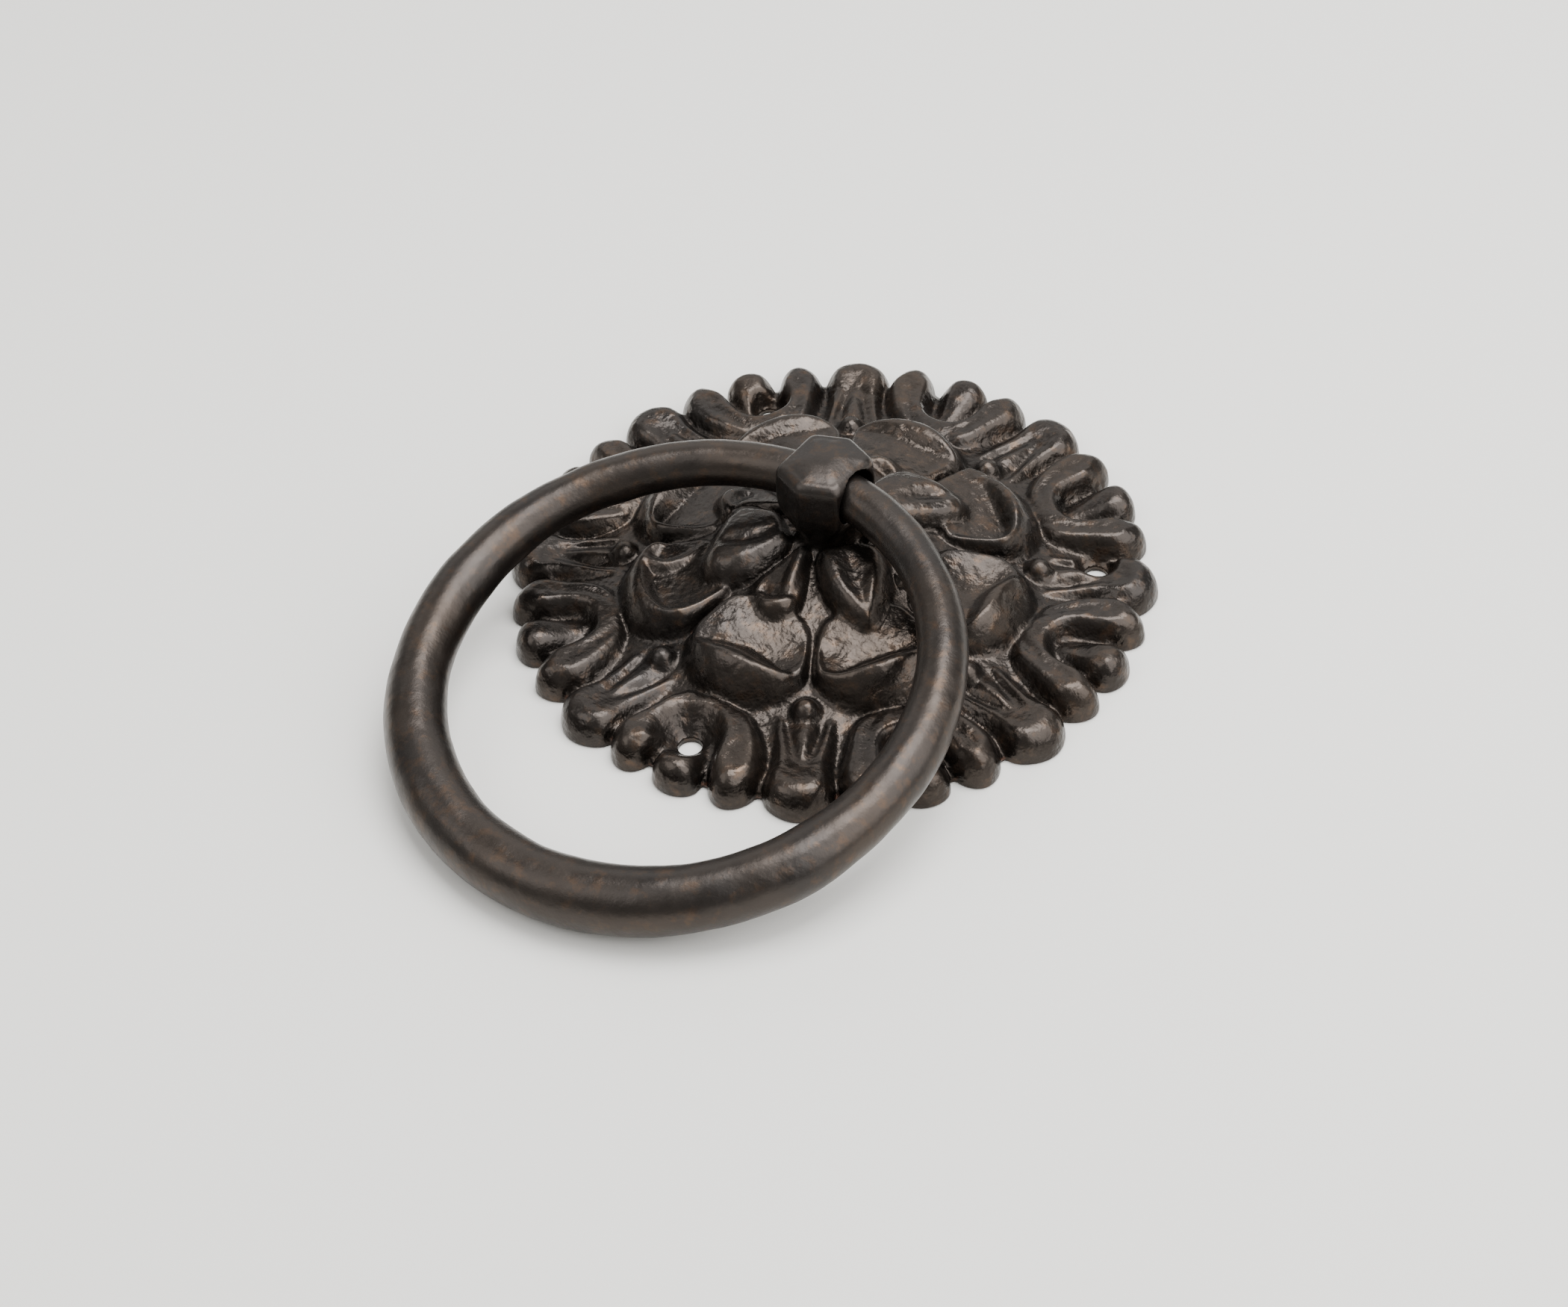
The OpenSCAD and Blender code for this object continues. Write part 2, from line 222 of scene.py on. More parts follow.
# Middle leaves, in (out along the leaf, across it) millimetres, by their angle round the rosette
MIDDLE_OUTLINE = [(26, -11), (33, -14), (40, -16.9), (46, -17.6), (51.4, -15), (55.8, -9), (57.8, -2),
                  (57.6, 4),
                  (55.8, 9.6), (52, 14.8), (46.4, 18), (40, 17.1), (33, 14), (26, 11)]
MIDDLE = {
    276.4: dict(
        grooves=[[(46.8, -13, 0.3, 2), (45.6, -8.5, 1, 2.4), (44.4, -2.5, 1.7, 3), (45, 3.5, 1.8, 3),
                  (46.4, 8.5, 1.2, 2.6), (46, 12.5, 0.4, 2)]],
        rolls=[[(46.6, -15, 14.8, 2), (48.8, -11.4, 16.1, 5), (49.6, -6.5, 17.4, 9), (49.6, -1, 17.9, 10),
                (49.6, 4, 17.3, 8), (49.6, 8.5, 16.3, 5), (49.2, 12.5, 15.6, 3), (47, 15.8, 15, 1.8)],
               [(28, 10.4, 15.4, 0.9), (33, 12.8, 15, 0.9), (38, 15.2, 14.8, 0.9), (43, 16.8, 14.8, 1),
                (47.4, 16.8, 14.8, 1.2)]],
        spots=[(42.8, 11, 12), (46, 9, 12.2), (40, 5, 13), (39.4, -0.7, 14.2), (45, -4, 14.4),
               (46, -11, 14),
               (41, -13, 15.4), (36.8, -9.6, 16.4), (31, -7, 17.4), (34, 4, 15), (30, 8, 15.4),
               (45, 14, 12.8)]),
    321.4: dict(
        grooves=[[(46.6, -11, 0.4, 2), (46.2, -6, 1.2, 2.4), (44.6, 0, 1.6, 3), (44, 5, 1.3, 2.8),
                  (43.2, 10, 0.4, 2.4)]],
        rolls=[[(46, -15, 14.6, 1.6), (48.6, -12.4, 15.3, 2.6), (50, -8.4, 16.1, 4.6), (49.8, -4, 17, 7),
                (50, 1, 17.5, 8.5), (49.8, 6, 17.4, 8), (48.2, 11, 16.4, 5.5), (45.4, 15, 15, 2.5)],
               [(29, -10.8, 15.4, 0.9), (34, -13, 15, 0.9), (40, -15.4, 14.7, 0.9), (46, -16.2, 14.6, 1)]],
        spots=[(39, -10, 12.8), (43.5, -6, 12.2), (34.8, -6, 14.8), (36, 4, 14.6), (30, 0, 16.4),
               (44, 2, 13.6),
               (38, 11, 15.2), (30, 9, 16.2), (45, -11, 12.6)]),
    231.4: dict(
        rolls=[[(42, -15, 14.8, 1.8), (47.4, -13, 15.2, 2.8), (51.2, -7.5, 15.9, 3.6), (52.6, 0, 16.3, 3.8),
                (52.2, 6, 16.5, 3.6), (50, 11.2, 16.7, 3.2), (47.2, 14, 16.7, 2.8), (44, 14.6, 16.5, 2.4),
                (40.2, 13.8, 16.3, 2.2), (35, 12.2, 16.1, 2), (28, 9.6, 16.6, 2)],
               [(48, -10.5, 15, 1.3), (43.5, -5.4, 14.9, 1.4), (38, -6, 14.8, 1.5), (30, -8.4, 15.4, 1.8)]],
        spots=[(46, 1, 11.8), (42, 3, 12), (47, 7.6, 12), (36, 4, 13.8), (30, 0, 16.8), (34, -11.5, 14.8),
               (41, -11, 13.6)]),
    6.4: dict(
        rolls=[[(46, -16, 14.8, 2), (49.8, -12.6, 16.4, 5), (51, -8, 17.1, 7), (49.4, -3, 17.2, 5.5),
                (48.4, 1.4, 16.8, 3), (49.4, 5, 16.4, 2.2), (51, 8.8, 16, 2), (50.6, 12.4, 15.4, 2),
                (46.6, 15.4, 14.8, 1.6)]],
        spots=[(43, 3, 12), (40.5, 6.5, 12.6), (44, -4, 13), (36, -5, 14.2), (40, -11, 14.2), (30, 8, 16.4),
               (30, -6, 16.8), (45, 10, 12.6), (40, 12.5, 14), (54, 9, 13.4)]),
    51.4: dict(
        rolls=[[(30, -10, 16, 1.5), (35.5, -12.8, 15.9, 1.7), (40.4, -15.4, 16.2, 2),
                (45.4, -15.8, 16.5, 2.6),
                (49.4, -12.8, 17, 3.2), (51, -7.6, 17.4, 3.8), (50.4, -2, 17.5, 3.8), (49.4, 3, 17.2, 3),
                (48, 7.6, 16.4, 2), (44, 11, 15.6, 1.4)]],
        spots=[(47, -4, 12.2), (44, -9, 12.6), (41, -7, 13.6), (46, 1, 13.6), (40, 4, 15), (46, 12, 15.2),
               (53, 11, 14),
               (36, 0, 15.2), (31, 8, 16.8), (36, -9, 14.2), (30, -5, 16.8), (40, 12, 15.4)]),
    96.4: dict(
        rolls=[[(45, 15, 14.8, 2), (47.4, 11, 16.4, 5), (49.2, 5, 17.5, 8), (49.6, -2, 17.6, 9),
                (48.8, -8, 17.2, 7), (46, -13.6, 15.2, 3)]],
        spots=[(44, 5, 15.4), (45, -3, 14.8), (45, -9, 14.4), (38, 0, 15.6), (31, 8, 16.8), (30, -8, 16.8),
               (40, 12, 14.6), (38, -11, 14.4)]),
    141.4: dict(
        rolls=[[(45.5, 14, 14.4, 2.4), (48.4, 10, 15.6, 4), (49.8, 4, 16.8, 7), (50, -2, 17.4, 8),
                (49, -8.4, 17.6, 7), (46.4, -13.6, 15.6, 3)]],
        spots=[(46, 0, 15), (46, -8, 15), (42, -11, 14.8), (38, 0, 15.4), (30, 0, 16.8), (42, 9, 13.6)]),
    186.4: dict(
        rolls=[[(46, -14, 14.8, 2.2), (49, -8.6, 16.6, 6), (50, 0, 17.2, 8), (49.6, 7, 16.2, 5),
                (48.6, 12, 15.6, 2.6), (46.2, 14.2, 15.4, 1.6), (41.6, 14, 15.2, 1.4), (36, 12, 15, 1.4),
                (29, 9, 15.2, 1.6)]],
        spots=[(43.5, 2, 12.6), (36, 0, 14.4), (45, -7, 12.4), (40, 9, 13), (29, -6, 16.8), (36, -10, 15)]),
}

INNER = {
    231.4: dict(
        outline=[(8, -8), (13, -12.4), (17.4, -17.2), (22.6, -16.8), (27, -12), (31, -6), (34.8, -2),
                 (35.8, 3.4),
                 (32.6, 9), (26.5, 11.2), (19, 10.4), (12, 7.6), (8, 5)],
        grooves=[[(13, 0, 0.4, 2), (20, 1.6, 1.1, 2.4), (26, -1, 1.2, 2.2), (31, -4, 0.5, 1.6)]],
        spots=[(13, -6, 23.6), (17.5, -1, 23.6), (20, -12.6, 21.2), (25, -8, 21.8), (26, 0.5, 22.6),
               (21.5, 8, 22),
               (20, 5, 23.2), (33, 3, 20.4), (30, 6.4, 21), (31, -1, 20.8), (26, 6.4, 22.4), (12, 4, 24)]),
    321.4: dict(
        outline=[(7, -6), (12, -8), (18, -9.2), (25, -8.6), (31, -6), (35, -2.8), (37.4, 0), (35.4, 3.8),
                 (31.5, 7.2),
                 (26, 10.4), (20, 12.4), (14, 12.4), (9, 8)],
        rolls=[[(12, -4, 23.8, 6), (17, -4.6, 23.8, 7), (23, -4.2, 23.1, 7), (28.6, -2.6, 21.7, 5),
                (33.4, -0.6, 20, 3)],
               [(16, 8, 23.6, 5), (22, 6.4, 23.4, 5), (27.6, 4, 22.3, 4), (31.8, 2.2, 20.8, 2.6),
                (35, 0.8, 19.6, 1.6)]],
        grooves=[[(16, 1, 0.3, 2), (22, 0.6, 0.8, 1.9), (28, 0.8, 0.7, 1.7), (32, 1, 0.3, 1.4)]],
        spots=[(12, 0, 24.2), (20, 0, 23), (28, 0.6, 21.4), (33, 0, 19.8), (26, 8.4, 21), (20, 10.4, 22.2),
               (24, -7, 21.4), (30, -4.6, 19.8)]),
    51.4: dict(
        outline=[(8, 1), (10, 9), (15.6, 13.8), (21, 16.4), (26, 17.2), (31, 14), (35, 8), (38.4, 1.6),
                 (38.6, -2.2),
                 (36, -5), (31, -6), (25, -6), (18, -6.2), (10, -4)],
        rolls=[[(14, -3.4, 24, 2), (19, -3.8, 23.2, 2), (25, -3.9, 22, 2), (31, -3.8, 21, 1.7),
                (36, -2.8, 20, 1.4)]],
        grooves=[[(22, 1.4, 0.6, 1.8), (27, 2.4, 1.3, 1.9), (31.6, 1.6, 1.2, 1.7), (35, 2.4, 0.4, 1.4)]],
        spots=[(12, 4, 24), (20, 12, 22.6), (25, 13.8, 21.4), (23.3, 9, 23), (27, 4.6, 22.6),
               (28, -0.6, 21),
               (31.4, 6.6, 21.6), (35.4, 0.6, 20.2), (34, -2.5, 19.8), (18, 3, 23.8), (30, 11, 20.8)]),
    141.4: dict(
        outline=[(8, -5), (12, -8.4), (20, -10), (28, -9.2), (34.4, -5.2), (36.6, -0.4), (31.6, 5.2),
                 (26.5, 8.4),
                 (20, 9.4), (13, 8.6), (8, 6)],
        rolls=[[(12, 5.4, 24, 1.6), (17, 6, 24.2, 1.8), (24, 5.8, 23.4, 2), (31.4, 2.4, 21, 1.7)],
               [(16, -6.6, 24, 1.8), (23, -4.8, 23.8, 2), (29, -2.4, 22.6, 1.8), (35, -0.6, 20.6, 1.5)]],
        grooves=[[(14, 0.4, 0.8, 1.4), (22, 0.6, 1.6, 1.5), (29, 0.2, 1, 1.2)]],
        spots=[(14, 0, 23.4), (22, 0, 22), (29, 0, 20.4), (29, -7, 20.6), (20, -8.4, 22.4),
               (35, -2, 18.8)]),
}
SMALL = dict(
    outline=[(9, -3), (14.4, -5.8), (19, -8.2), (24.2, -10), (30.6, -7.4), (34.8, -2.2), (33.8, 3.4),
             (29, 7.6),
             (22.6, 7.2), (15.5, 4), (9, 3)],
    rolls=[[(12, 0.2, 23.4, 1.8), (18, 1, 22.2, 2), (23, 1.6, 21, 1.8), (27, 3, 20, 1.6)],
           [(29, -5.6, 18.8, 2), (31.4, -3, 19.6, 3), (31.4, 0.6, 20, 3.2), (29.6, 4, 20.2, 3),
            (26, 6, 20.2, 2)]],
    grooves=[[(26.6, -4.4, 1.4, 1.5), (27.4, -1, 1.6, 1.4), (26, 4, 0.8, 1.2)]],
    spots=[(13, -1, 22.2), (19.4, 3, 20.8), (26, 1.4, 19.8), (32.4, -1.4, 19), (28.4, 5.4, 19.2),
           (25.4, -4, 17.6),
           (22, -7.4, 18.8), (19, -3.4, 19.6), (29.6, -4.6, 18.6), (23, 5.2, 19.8), (31, 2, 18.9)])
SMALL_ANGLES = (6.4, 96.4, 186.4, 276.4)


def dome(r):
    """Height of the plate under the leaves."""
    return 3 - 1.8 * ease((r - 72) / 10) + 18 * np.maximum(0, 1 - (r / 75) ** 1.6) ** 1.7


def fringe():
    """Every leaf of the outer fringe and its angle, each a little off the even spacing."""
    rng = np.random.default_rng(3)
    for k in range(8):
        mid = FIRST + SECTOR * k
        yield LEAF_M, mid + 22.5 + rng.uniform(-0.5, 0.5)
        yield LEAF_C, mid + rng.uniform(-0.3, 0.3)
        yield HORSESHOE, mid + rng.uniform(-0.3, 0.3)


def rim(angles):
    """Radius of the rosette's rim at each angle, out to whichever leaf reaches furthest there."""
    reach = np.full(angles.shape, PLATE_EDGE_R)
    for shape, turn in fringe():
        p = np.array(shape["outline"], float)
        a = np.radians(p[:, 1])
        line = curve_along(np.stack([p[:, 0] * np.cos(a), p[:, 0] * np.sin(a)], 1), closed=True)
        here = np.radians(angles - turn)
        for start, end in zip(line, np.roll(line, -1, 0)):
            a0, a1 = np.arctan2(start[1], start[0]), np.arctan2(end[1], end[0])
            share = (np.angle(np.exp(1j * here)) - a0) / (a1 - a0 + 1e-12)
            across = (share >= 0) & (share <= 1)
            r = np.hypot(*start) + share * (np.hypot(*end) - np.hypot(*start))
            reach = np.where(across, np.maximum(reach, r), reach)
    return reach


def hole_centre(angle):
    """Where the screw hole at this angle is."""
    a = math.radians(angle)
    return SCREW_R * math.cos(a), SCREW_R * math.sin(a)


def height(x, y):
    """Height of the rosette's front at each place."""
    r = np.hypot(x, y)
    z = dome(r)
    for shape, turn in fringe():
        z = leaf(x, y, z, turn, polar=True, fillet=0.8, **shape)
    for mid, shape in MIDDLE.items():
        z = leaf(x, y, z, mid, MIDDLE_OUTLINE, foot=5, edge=3, nose=9.5, nose_from=46, power=0.62, **shape)
    for k in range(8):
        a = np.radians(FIRST + 22.5 + SECTOR * k)
        d = np.hypot(x - BERRY_AT * np.cos(a), y - BERRY_AT * np.sin(a))
        ball = np.where(d < BERRY_R, BERRY_Z + np.sqrt(np.maximum(0, BERRY_R**2 - d**2)), OUTSIDE)
        z = smooth_max(z, ball, 0.4)
    for mid in SMALL_ANGLES:
        z = leaf(x, y, z, mid, foot=12, edge=4.4, power=0.56, **SMALL)
    for mid, shape in INNER.items():
        z = leaf(x, y, z, mid, foot=12, edge=5.4, power=0.56, **shape)
    for angle, seat_r, slope in SCREWS:
        hole_x, hole_y = hole_centre(angle)
        d = np.hypot(x - hole_x, y - hole_y)
        z = -smooth_max(-z, -(SCREW_SEAT_Z + slope * np.maximum(0, d - seat_r)), 0.5)
    seat = ease((r - SEAT_R + SEAT_BLEND) / (2 * SEAT_BLEND))
    return SEAT_H * (1 - seat) + z * seat


def add_mesh(name, points, faces, material=None):
    """A new mesh object from points in millimetres."""
    mesh = bpy.data.meshes.new(name)
    mesh.from_pydata((np.asarray(points, float) * MM).tolist(), [], faces)
    mesh.update()
    mesh.shade_smooth()
    piece = bpy.data.objects.new(name, mesh)
    bpy.context.scene.collection.objects.link(piece)
    if material:
        mesh.materials.append(material)
    return piece


def grid_faces(rows, columns, closed_rows=False):
    """Quads between rows of points that run round in closed loops of the given number of columns."""
    faces = []
    for row in range(rows if closed_rows else rows - 1):
        here = row * columns
        on = ((row + 1) % rows) * columns
        for column in range(columns):
            after = (column + 1) % columns
            faces.append((here + column, here + after, on + after, on + column))
    return faces


def remember(mesh, name, values):
    """Keeps one number for each vertex under a name, for the material to read."""
    attribute = mesh.attributes.new(name, "FLOAT", "POINT")
    attribute.data.foreach_set("value", np.asarray(values, np.float32))


def roughened(points, normals, amounts):
    """Points pushed in and out along their normals by noise: (size in mm, height in mm) pairs."""
    out = np.array(points, float)
    for size, tall in amounts:
        push = np.array([noise.noise(Vector(p / size)) for p in points])
        out += np.asarray(normals) * (push * tall)[:, None]
    return out


def use(piece, modifier_type, **settings):
    """Adds a modifier with these settings and applies it."""
    modifier = piece.modifiers.new("shape", modifier_type)
    for key, value in settings.items():
        setattr(modifier, key, value)
    bpy.context.view_layer.objects.active = piece
    bpy.ops.object.modifier_apply(modifier=modifier.name)


def cut(piece, tool, operation="DIFFERENCE"):
    """Takes tool's volume out of piece, or joins it, and removes tool."""
    use(piece, "BOOLEAN", operation=operation, object=tool, solver="MANIFOLD")
    bpy.data.objects.remove(tool)


def swept_round(profile, sides, axis_at=(0, 0)):
    """Points of a profile of (radius, height) turned about a vertical axis."""
    angles = np.arange(sides) * 2 * math.pi / sides
    x, y = axis_at
    return [(x + r * math.cos(a), y + r * math.sin(a), z) for r, z in profile for a in angles]


def with_ends(rings, columns):
    """Faces of stacked rings, closed at both ends."""
    faces = grid_faces(rings, columns)
    faces.append(tuple(range(columns))[::-1])
    faces.append(tuple(range((rings - 1) * columns, rings * columns)))
    return faces


def solid_turned(name, profile, sides, axis_at=(0, 0)):
    """A solid turned about a vertical axis from an open profile, upwards, closed flat at both ends."""
    return add_mesh(name, swept_round(profile, sides, axis_at), with_ends(len(profile), sides))


# ---------------------------------------------------------------- rosette

ROUND_STEPS = 900
# From the rim's notches in to the stud's hole; the first ring stays inside the deepest notch
BACK_PROFILE = [(77.5, 0), (62.8, 0), (62, 0.1), (61.4, 0.8), (53, 3.4), (44, 6), (36, 8.8), (28, 11.5),
                (21, 13.4),
                (14, 15.2), (5.3, 15.2)]
SCREW_HOLE_R = 3.15
STUD_HOLE_R = 5.3
BACK_CEILING = 15.2
# How far out of its surroundings the material takes places to stand that the front's height says
# nothing about
BACK_RELIEF = 0.45
HOLE_RELIEF = 0.5


def ring_shares():
    """How far out each ring of the rosette's front is, from 0 at the seat to 1 at the rim."""
    even = np.linspace(0, 0.94, 190)
    close = 0.94 + 0.06 * np.linspace(0, 1, 26)[1:] ** 0.7
    return np.concatenate([even, close])


def softened(z, times):
    """Heights on rings blended a little with their neighbours, round and across, ends kept."""
    for _ in range(times):
        z = (np.roll(z, 1, 1) + 2 * z + np.roll(z, -1, 1)) / 4
        z = np.vstack([z[:1], (z[:-2] + 2 * z[1:-1] + z[2:]) / 4, z[-1:]])
    return z


def relief_of(x, y, z):
    """How far each place stands out of its surroundings, 0 in the deepest lines to 1 on ridges."""
    step, half = 0.8, 88
    line = np.arange(-half, half + step, step)
    gx, gy = np.meshgrid(line, line)
    field = height(gx.ravel(), gy.ravel()).reshape(gx.shape)
    field = np.where(np.hypot(gx, gy) > 84, 6.0, np.maximum(field, 2.5))
    for _ in range(10):
        field = (np.roll(field, 1, 0) + 2 * field + np.roll(field, -1, 0)) / 4
        field = (np.roll(field, 1, 1) + 2 * field + np.roll(field, -1, 1)) / 4
    fx, fy = np.clip((x + half) / step, 0, len(line) - 2), np.clip((y + half) / step, 0, len(line) - 2)
    ix, iy = fx.astype(int), fy.astype(int)
    sx, sy = fx - ix, fy - iy
    around = ((field[iy, ix] * (1 - sx) + field[iy, ix + 1] * sx) * (1 - sy)
              + (field[iy + 1, ix] * (1 - sx) + field[iy + 1, ix + 1] * sx) * sy)
    return np.clip(0.5 + (z - around) / 7, 0, 1)


def rosette(material):
    angles = np.arange(ROUND_STEPS) * 360 / ROUND_STEPS
    c, s = np.cos(np.radians(angles)), np.sin(np.radians(angles))
    rim_r = rim(angles)
    shares = ring_shares()[:, None]
    start = SEAT_R - SEAT_BLEND
    to_rim = (rim_r[None, :] - RIM_R) * ease((shares - 0.8) / 0.2)
    radii = start + (RIM_R - start) * shares + to_rim
    x, y = radii * c, radii * s
    z = softened(height(x.ravel(), y.ravel()).reshape(x.shape), 6)
    inner = [(STUD_HOLE_R, BACK_CEILING), (STUD_HOLE_R, 20.7), (5.6, SEAT_H), (7.5, SEAT_H)]
    rings = [np.stack([r * c, r * s, np.full(ROUND_STEPS, h)], 1) for r, h in inner]
    rings += [np.stack([x[k], y[k], z[k]], 1) for k in range(len(x))]
    last_z = z[-1]
    for share, inset in ((0.75, 0), (0.5, 0), (0.28, 0), (0.12, 0.08), (0.03, 0.3), (0, 0.75)):
        rings.append(np.stack([(rim_r - inset) * c, (rim_r - inset) * s, last_z * share], 1))
    rings += [np.stack([r * c, r * s, np.full(ROUND_STEPS, h)], 1) for r, h in BACK_PROFILE[:-1]]
    points = np.concatenate(rings)
    # The rings run outwards over the front, so each face is turned over to look out of the metal
    faces = [f[::-1] for f in grid_faces(len(rings), ROUND_STEPS, closed_rows=True)]
    piece = add_mesh("cast_rosette", points, faces, material)
    roughen_front(piece)
    for angle, _, _ in SCREWS:
        drill = solid_turned("drill", [(SCREW_HOLE_R, -1), (SCREW_HOLE_R, 30)], 64, hole_centre(angle))
        cut(piece, drill)
    plain_hole_walls(piece.data)
    return piece


def plain_hole_walls(mesh):
    """Gives the drilled walls a middling relief, as the cuts leave them with none, which would be rust."""
    co = np.zeros(len(mesh.vertices) * 3, np.float32)
    mesh.vertices.foreach_get("co", co)
    co = co.reshape(-1, 3) / MM
    data = mesh.attributes["relief"].data
    relief = np.zeros(len(data), np.float32)
    data.foreach_get("value", relief)
    for angle, _, _ in SCREWS:
        x, y = hole_centre(angle)
        away = np.hypot(co[:, 0] - x, co[:, 1] - y)
        relief[away < SCREW_HOLE_R + 0.1] = HOLE_RELIEF
    data.foreach_set("value", relief)


def roughen_front(piece):
    """The unevenness of a sand casting, on everything but the back."""
    mesh = piece.data
    count = len(mesh.vertices)
    co = np.zeros(count * 3)
    mesh.vertices.foreach_get("co", co)
    normal = np.zeros(count * 3)
    mesh.vertex_normals.foreach_get("vector", normal)
    co, normal = co.reshape(-1, 3) / MM, normal.reshape(-1, 3)
    relief = relief_of(co[:, 0], co[:, 1], co[:, 2])
    edge = np.clip((np.hypot(co[:, 0], co[:, 1]) - 79) / 3, 0, 1)
    relief = np.maximum(relief, BACK_RELIEF * edge)
    relief = np.where(normal[:, 2] < 0, np.maximum(relief, BACK_RELIEF), relief)
    for angle, seat_r, _ in SCREWS:
        x, y = hole_centre(angle)
        away = np.hypot(co[:, 0] - x, co[:, 1] - y)
        relief = np.maximum(relief, HOLE_RELIEF * (away < seat_r + 2))
    remember(mesh, "relief", relief)
    front = np.clip(co[:, 2] - 0.2, 0, 1) * np.clip(normal[:, 2] * 1.6, 0, 1) * (1.35 - 0.7 * relief)
    moved = roughened(co, normal * front[:, None], [(9, 0.22), (3.2, 0.1), (1.4, 0.04)])
    mesh.vertices.foreach_set("co", (moved * MM).ravel())
    mesh.update()


# ---------------------------------------------------------------- eye stud

EYE_H = 34.3
EYE_BORE_R = 7.4
HEAD_TOP = 43.8
HEAD_CORNERS = [(10, -8.5), (10, 8.5), (0, 12.5), (-10, 8.5), (-10, -8.5), (0, -12.5)]
# Height, share of full width along X, share along Y, corner radius
HEAD_LEVELS = [(20.2, 0.57, 0.74, 3.2), (21.5, 0.60, 0.76, 3.2), (23, 0.68, 0.80, 3.0),
               (25, 0.80, 0.87, 2.7),
               (27, 0.89, 0.93, 2.3), (29, 0.96, 0.975, 1.9), (31, 0.995, 0.995, 1.8), (34, 1, 1, 1.8),
               (36.5, 1, 1, 2.0), (39, 0.995, 0.995, 2.4)]
HEAD_EDGE_R = 3.1
DOME_R = 30


def rounded_outline(corners, radius, steps=8):
    """A convex outline with its corners rounded, as points in order."""
    corners = np.array(corners, float)
    points = []
    for before, corner, after in zip(np.roll(corners, 1, 0), corners, np.roll(corners, -1, 0)):
        into = (corner - before) / np.linalg.norm(corner - before)
        out = (after - corner) / np.linalg.norm(after - corner)
        start = math.atan2(-into[0], into[1])
        bend = math.atan2(into[0] * out[1] - into[1] * out[0], into @ out)
        half = bend / 2
        inward = (out - into) / np.linalg.norm(out - into)
        centre = corner + inward * radius / math.cos(half)
        for k in range(steps + 1):
            a = start + bend * k / steps
            points.append(centre + radius * np.array([math.cos(a), math.sin(a)]))
    return np.array(points)


def stud_head():
    """The eye stud's head before its bore is drilled."""
    levels = []
    for z, wide, long, corner in HEAD_LEVELS:
        levels.append((z, rounded_outline(np.array(HEAD_CORNERS) * (wide, long), corner)))
    full = levels[-1][1]
    reach = np.hypot(full[:, 0], full[:, 1])
    for k in range(1, 7):
        a = math.pi / 2 * k / 6
        share = 1 - HEAD_EDGE_R * (1 - math.cos(a)) / reach
        edge_z = HEAD_TOP - DOME_R + np.sqrt(DOME_R**2 - (reach - HEAD_EDGE_R) ** 2)
        z = edge_z - HEAD_EDGE_R + HEAD_EDGE_R * math.sin(a)
        levels.append((z, full * share[:, None]))
    rim_line = levels[-1][1]
    for share in np.linspace(0.95, 0.05, 19):
        line = rim_line * share
        levels.append((HEAD_TOP - DOME_R + np.sqrt(DOME_R**2 - (line**2).sum(1)), line))
    rings = [np.column_stack([line, np.broadcast_to(z, len(line))]) for z, line in levels]
    return add_mesh("eye_stud_head", np.concatenate(rings), with_ends(len(rings), len(full)))


def eye_bore():
    """What is drilled out of the head: a bore along X with a small flare at each mouth."""
    profile = [(EYE_BORE_R + 0.4, -13), (EYE_BORE_R + 0.3, -10), (EYE_BORE_R, -9),
               (EYE_BORE_R, 9), (EYE_BORE_R + 0.3, 10), (EYE_BORE_R + 0.4, 13)]
    tool = solid_turned("bore", profile, 72)
    tool.data.transform(Quaternion((0, 1, 0), math.pi / 2).to_matrix().to_4x4())
    for vertex in tool.data.vertices:
        vertex.co.z += EYE_H * MM
    return tool


THREAD_PITCH = 1.5
THREAD_DEPTH = 0.55
SHANK_R = 5


def shank():
    """The stud's shank: threaded where the nut turns, plain where it passes the rosette."""
    sides, per_mm = 48, 8
    low, thread_end, top = 2, 14, 22
    heights = np.linspace(low, top, int((top - low) * per_mm) + 1)
    rings = []
    for z in heights:
        a = np.arange(sides) * 2 * math.pi / sides
        wave = np.abs(((z / THREAD_PITCH - a / (2 * math.pi)) % 1) * 2 - 1)
        fade = min(1, max(0, thread_end - z)) * min(1, (z - low) / 1.2 + 0.3)
        r = SHANK_R - 0.06 - THREAD_DEPTH * wave * fade - max(0, 1 - (z - low) / 0.9) * 0.5
        rings.append(np.column_stack([r * np.cos(a), r * np.sin(a), np.full(sides, z)]))
    return add_mesh("shank", np.concatenate(rings), with_ends(len(rings), sides))


def eye_stud(material):
    head = stud_head()
    cut(head, eye_bore())
    use(head, "REMESH", mode="VOXEL", voxel_size=0.28 * MM, use_smooth_shade=True)
    use(head, "SMOOTH", factor=0.5, iterations=8)
    mesh = head.data
    co = np.array([v.co for v in mesh.vertices]) / MM
    normal = np.array([v.normal for v in mesh.vertices])
    moved = roughened(co, normal, [(12, 0.1), (2.4, 0.03)])
    mesh.vertices.foreach_set("co", (moved * MM).ravel())
    mesh.update()
    cut(head, shank(), "UNION")
    # Closes the slivers that the union leaves where the shank meets the head
    use(head, "WELD", merge_threshold=0.02 * MM)
    head.data.materials.clear()
    head.data.materials.append(material)
    head.data.shade_smooth()
    return head


# ---------------------------------------------------------------- ring

RING_R = 66.2
RING_EYE_R = 6.0
RING_FAR_R = 8.45
RING_TILT = math.degrees(math.asin((EYE_H - RING_FAR_R) / (2 * RING_R)))
TAPER_FROM = 17
DOWEL_R = 2
DOWEL_HOLE_DEPTH = 7.1
